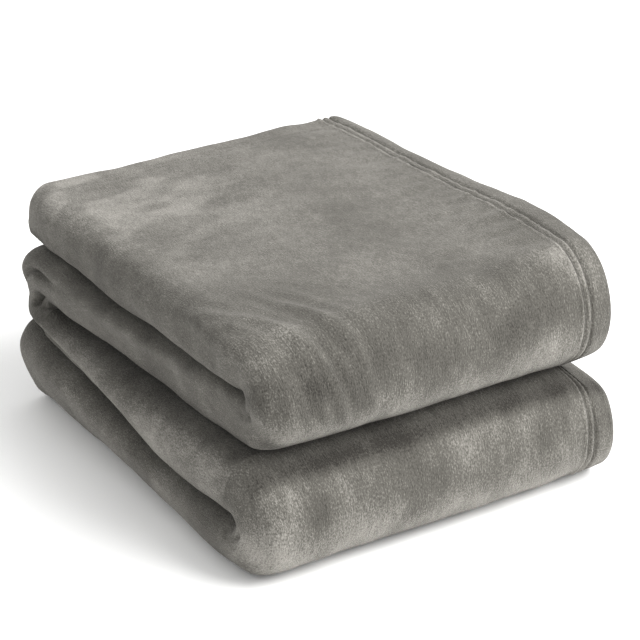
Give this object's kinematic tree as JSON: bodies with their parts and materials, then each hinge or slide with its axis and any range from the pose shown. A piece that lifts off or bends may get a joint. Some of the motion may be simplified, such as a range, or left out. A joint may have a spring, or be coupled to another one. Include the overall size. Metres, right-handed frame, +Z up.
{
  "type": "folded throw blanket",
  "caption": "Plush fleece throw folded into a thick rectangular stack, with a stitched hem; the upper packet opens over the back fold.",
  "frame": {"origin": "on the surface it rests on, under the middle of the folded stack's box", "axes": "+Z up; +Y towards the back fold, so -Y faces the two front folds; -X is the side of the soft rolls and +X the side of the hems"},
  "size_m": [0.326, 0.37, 0.1808],
  "materials": {
    "fleece_face": "plush double-faced fleece, short nap with brushed patches",
    "fleece_inside": "the same fleece, inside the folds",
    "fleece_hem": "turned fleece hem",
    "hem_thread": "spun polyester sewing thread"
  },
  "bodies": {
    "lower_half": {"bottom_panel_outer": "fleece_face", "bottom_panel_inner": "fleece_inside", "bottom_end_hem": "fleece_hem", "lower_front_fold_outer": "fleece_face", "lower_front_fold_inner": "fleece_inside", "third_panel_outer": "fleece_face", "third_panel_inner": "fleece_inside", "lower_back_fold_outer": "fleece_face", "lower_back_fold_inner": "fleece_inside", "lower_side_hem": "fleece_hem", "lower_hem_thread_1": "hem_thread", "lower_hem_thread_2": "hem_thread"},
    "upper_half": {"top_panel_outer": "fleece_face", "top_panel_inner": "fleece_inside", "top_end_hem": "fleece_hem", "upper_front_fold_outer": "fleece_face", "upper_front_fold_inner": "fleece_inside", "second_panel_outer": "fleece_face", "second_panel_inner": "fleece_inside", "upper_back_fold_outer": "fleece_face", "upper_back_fold_inner": "fleece_inside", "upper_side_hem": "fleece_hem", "upper_hem_thread_1": "hem_thread", "upper_hem_thread_2": "hem_thread"}
  },
  "joints": [
    {"name": "back_fold", "type": "hinge", "parent": "lower_half", "child": "upper_half", "pos_m": [0, 0.1853, 0.0922], "axis": [-1, 0, 0], "range_deg": [0, 180]}
  ]
}
